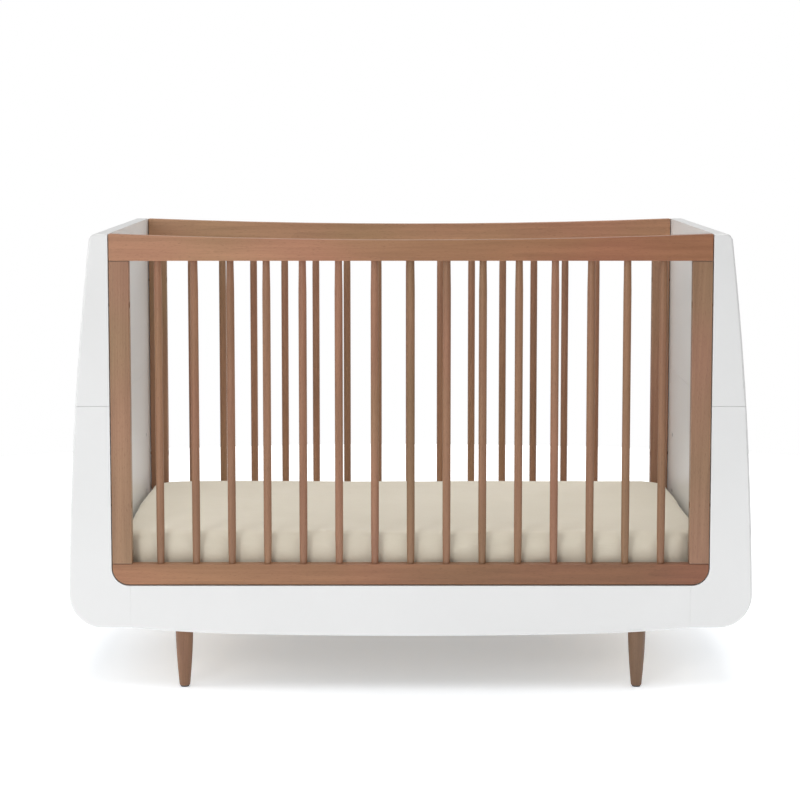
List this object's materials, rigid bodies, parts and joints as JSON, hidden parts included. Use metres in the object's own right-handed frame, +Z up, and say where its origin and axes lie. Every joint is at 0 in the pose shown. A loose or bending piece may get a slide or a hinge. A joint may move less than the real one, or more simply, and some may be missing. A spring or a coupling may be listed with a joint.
{
  "type": "baby crib",
  "caption": "Slatted baby crib with solid flared white ends, brown-stained spindled side frames, turned legs, a height-adjustable base and a mattress.",
  "frame": {"origin": "on the floor under the middle of the crib", "axes": "+X along the crib towards the right end seen from the front, +Y from the front to the back, +Z up"},
  "size_m": [1.396, 0.75, 0.94],
  "materials": {
    "white_lacquered_wood": "satin white lacquer",
    "stained_wood": "mid-brown stain, satin",
    "plain_wood": "planed, unfinished",
    "zinc_plated_steel": "zinc plated",
    "blackened_steel": "black oxide",
    "nylon": "moulded",
    "mattress_ticking": "quilted cotton ticking",
    "cotton_sheet": "woven cream cotton"
  },
  "bodies": {
    "crib_frame": {"apron_joint_plates": "zinc_plated_steel", "back_apron": "white_lacquered_wood", "back_bottom_rail": "stained_wood", "back_left_leg": "stained_wood", "back_left_post": "stained_wood", "back_right_leg": "stained_wood", "back_right_post": "stained_wood", "back_spindles": "stained_wood", "back_top_rail": "stained_wood", "base_height_inserts": "zinc_plated_steel", "base_support_bolts": "blackened_steel", "end_joining_pins": "zinc_plated_steel", "end_left_lower_back_stile": "white_lacquered_wood", "end_left_lower_front_stile": "white_lacquered_wood", "end_left_lower_inner_wall": "white_lacquered_wood", "end_left_lower_outer_wall": "white_lacquered_wood", "end_left_lower_top_board": "white_lacquered_wood", "end_left_top_cap": "white_lacquered_wood", "end_left_upper_back_stile": "white_lacquered_wood", "end_left_upper_front_stile": "white_lacquered_wood", "end_left_upper_inner_wall": "white_lacquered_wood", "end_left_upper_outer_wall": "white_lacquered_wood", "end_right_lower_back_stile": "white_lacquered_wood", "end_right_lower_front_stile": "white_lacquered_wood", "end_right_lower_inner_wall": "white_lacquered_wood", "end_right_lower_outer_wall": "white_lacquered_wood", "end_right_lower_top_board": "white_lacquered_wood", "end_right_top_cap": "white_lacquered_wood", "end_right_upper_back_stile": "white_lacquered_wood", "end_right_upper_front_stile": "white_lacquered_wood", "end_right_upper_inner_wall": "white_lacquered_wood", "end_right_upper_outer_wall": "white_lacquered_wood", "frame_screws": "zinc_plated_steel", "front_apron": "white_lacquered_wood", "front_bottom_rail": "stained_wood", "front_left_leg": "stained_wood", "front_left_post": "stained_wood", "front_right_leg": "stained_wood", "front_right_post": "stained_wood", "front_spindles": "stained_wood", "front_top_rail": "stained_wood", "left_leg_bearer": "plain_wood", "leg_brackets": "zinc_plated_steel", "leg_glides": "nylon", "leg_hanger_bolts": "zinc_plated_steel", "right_leg_bearer": "plain_wood", "side_frame_bolts": "blackened_steel", "side_frame_inserts": "zinc_plated_steel", "wooden_dowels": "plain_wood"},
    "mattress_base": {"base_back_rail": "plain_wood", "base_front_rail": "plain_wood", "base_hanger_brackets": "zinc_plated_steel", "base_hanger_screws": "zinc_plated_steel", "base_left_rail": "plain_wood", "base_middle_rail": "plain_wood", "base_right_rail": "plain_wood", "base_slats": "plain_wood", "fitted_sheet": "cotton_sheet", "mattress": "mattress_ticking"}
  },
  "joints": [
    {"name": "mattress_base_height", "type": "slide", "parent": "crib_frame", "child": "mattress_base", "axis": [0, 0, 1], "range_m": [0, 0.26]}
  ]
}
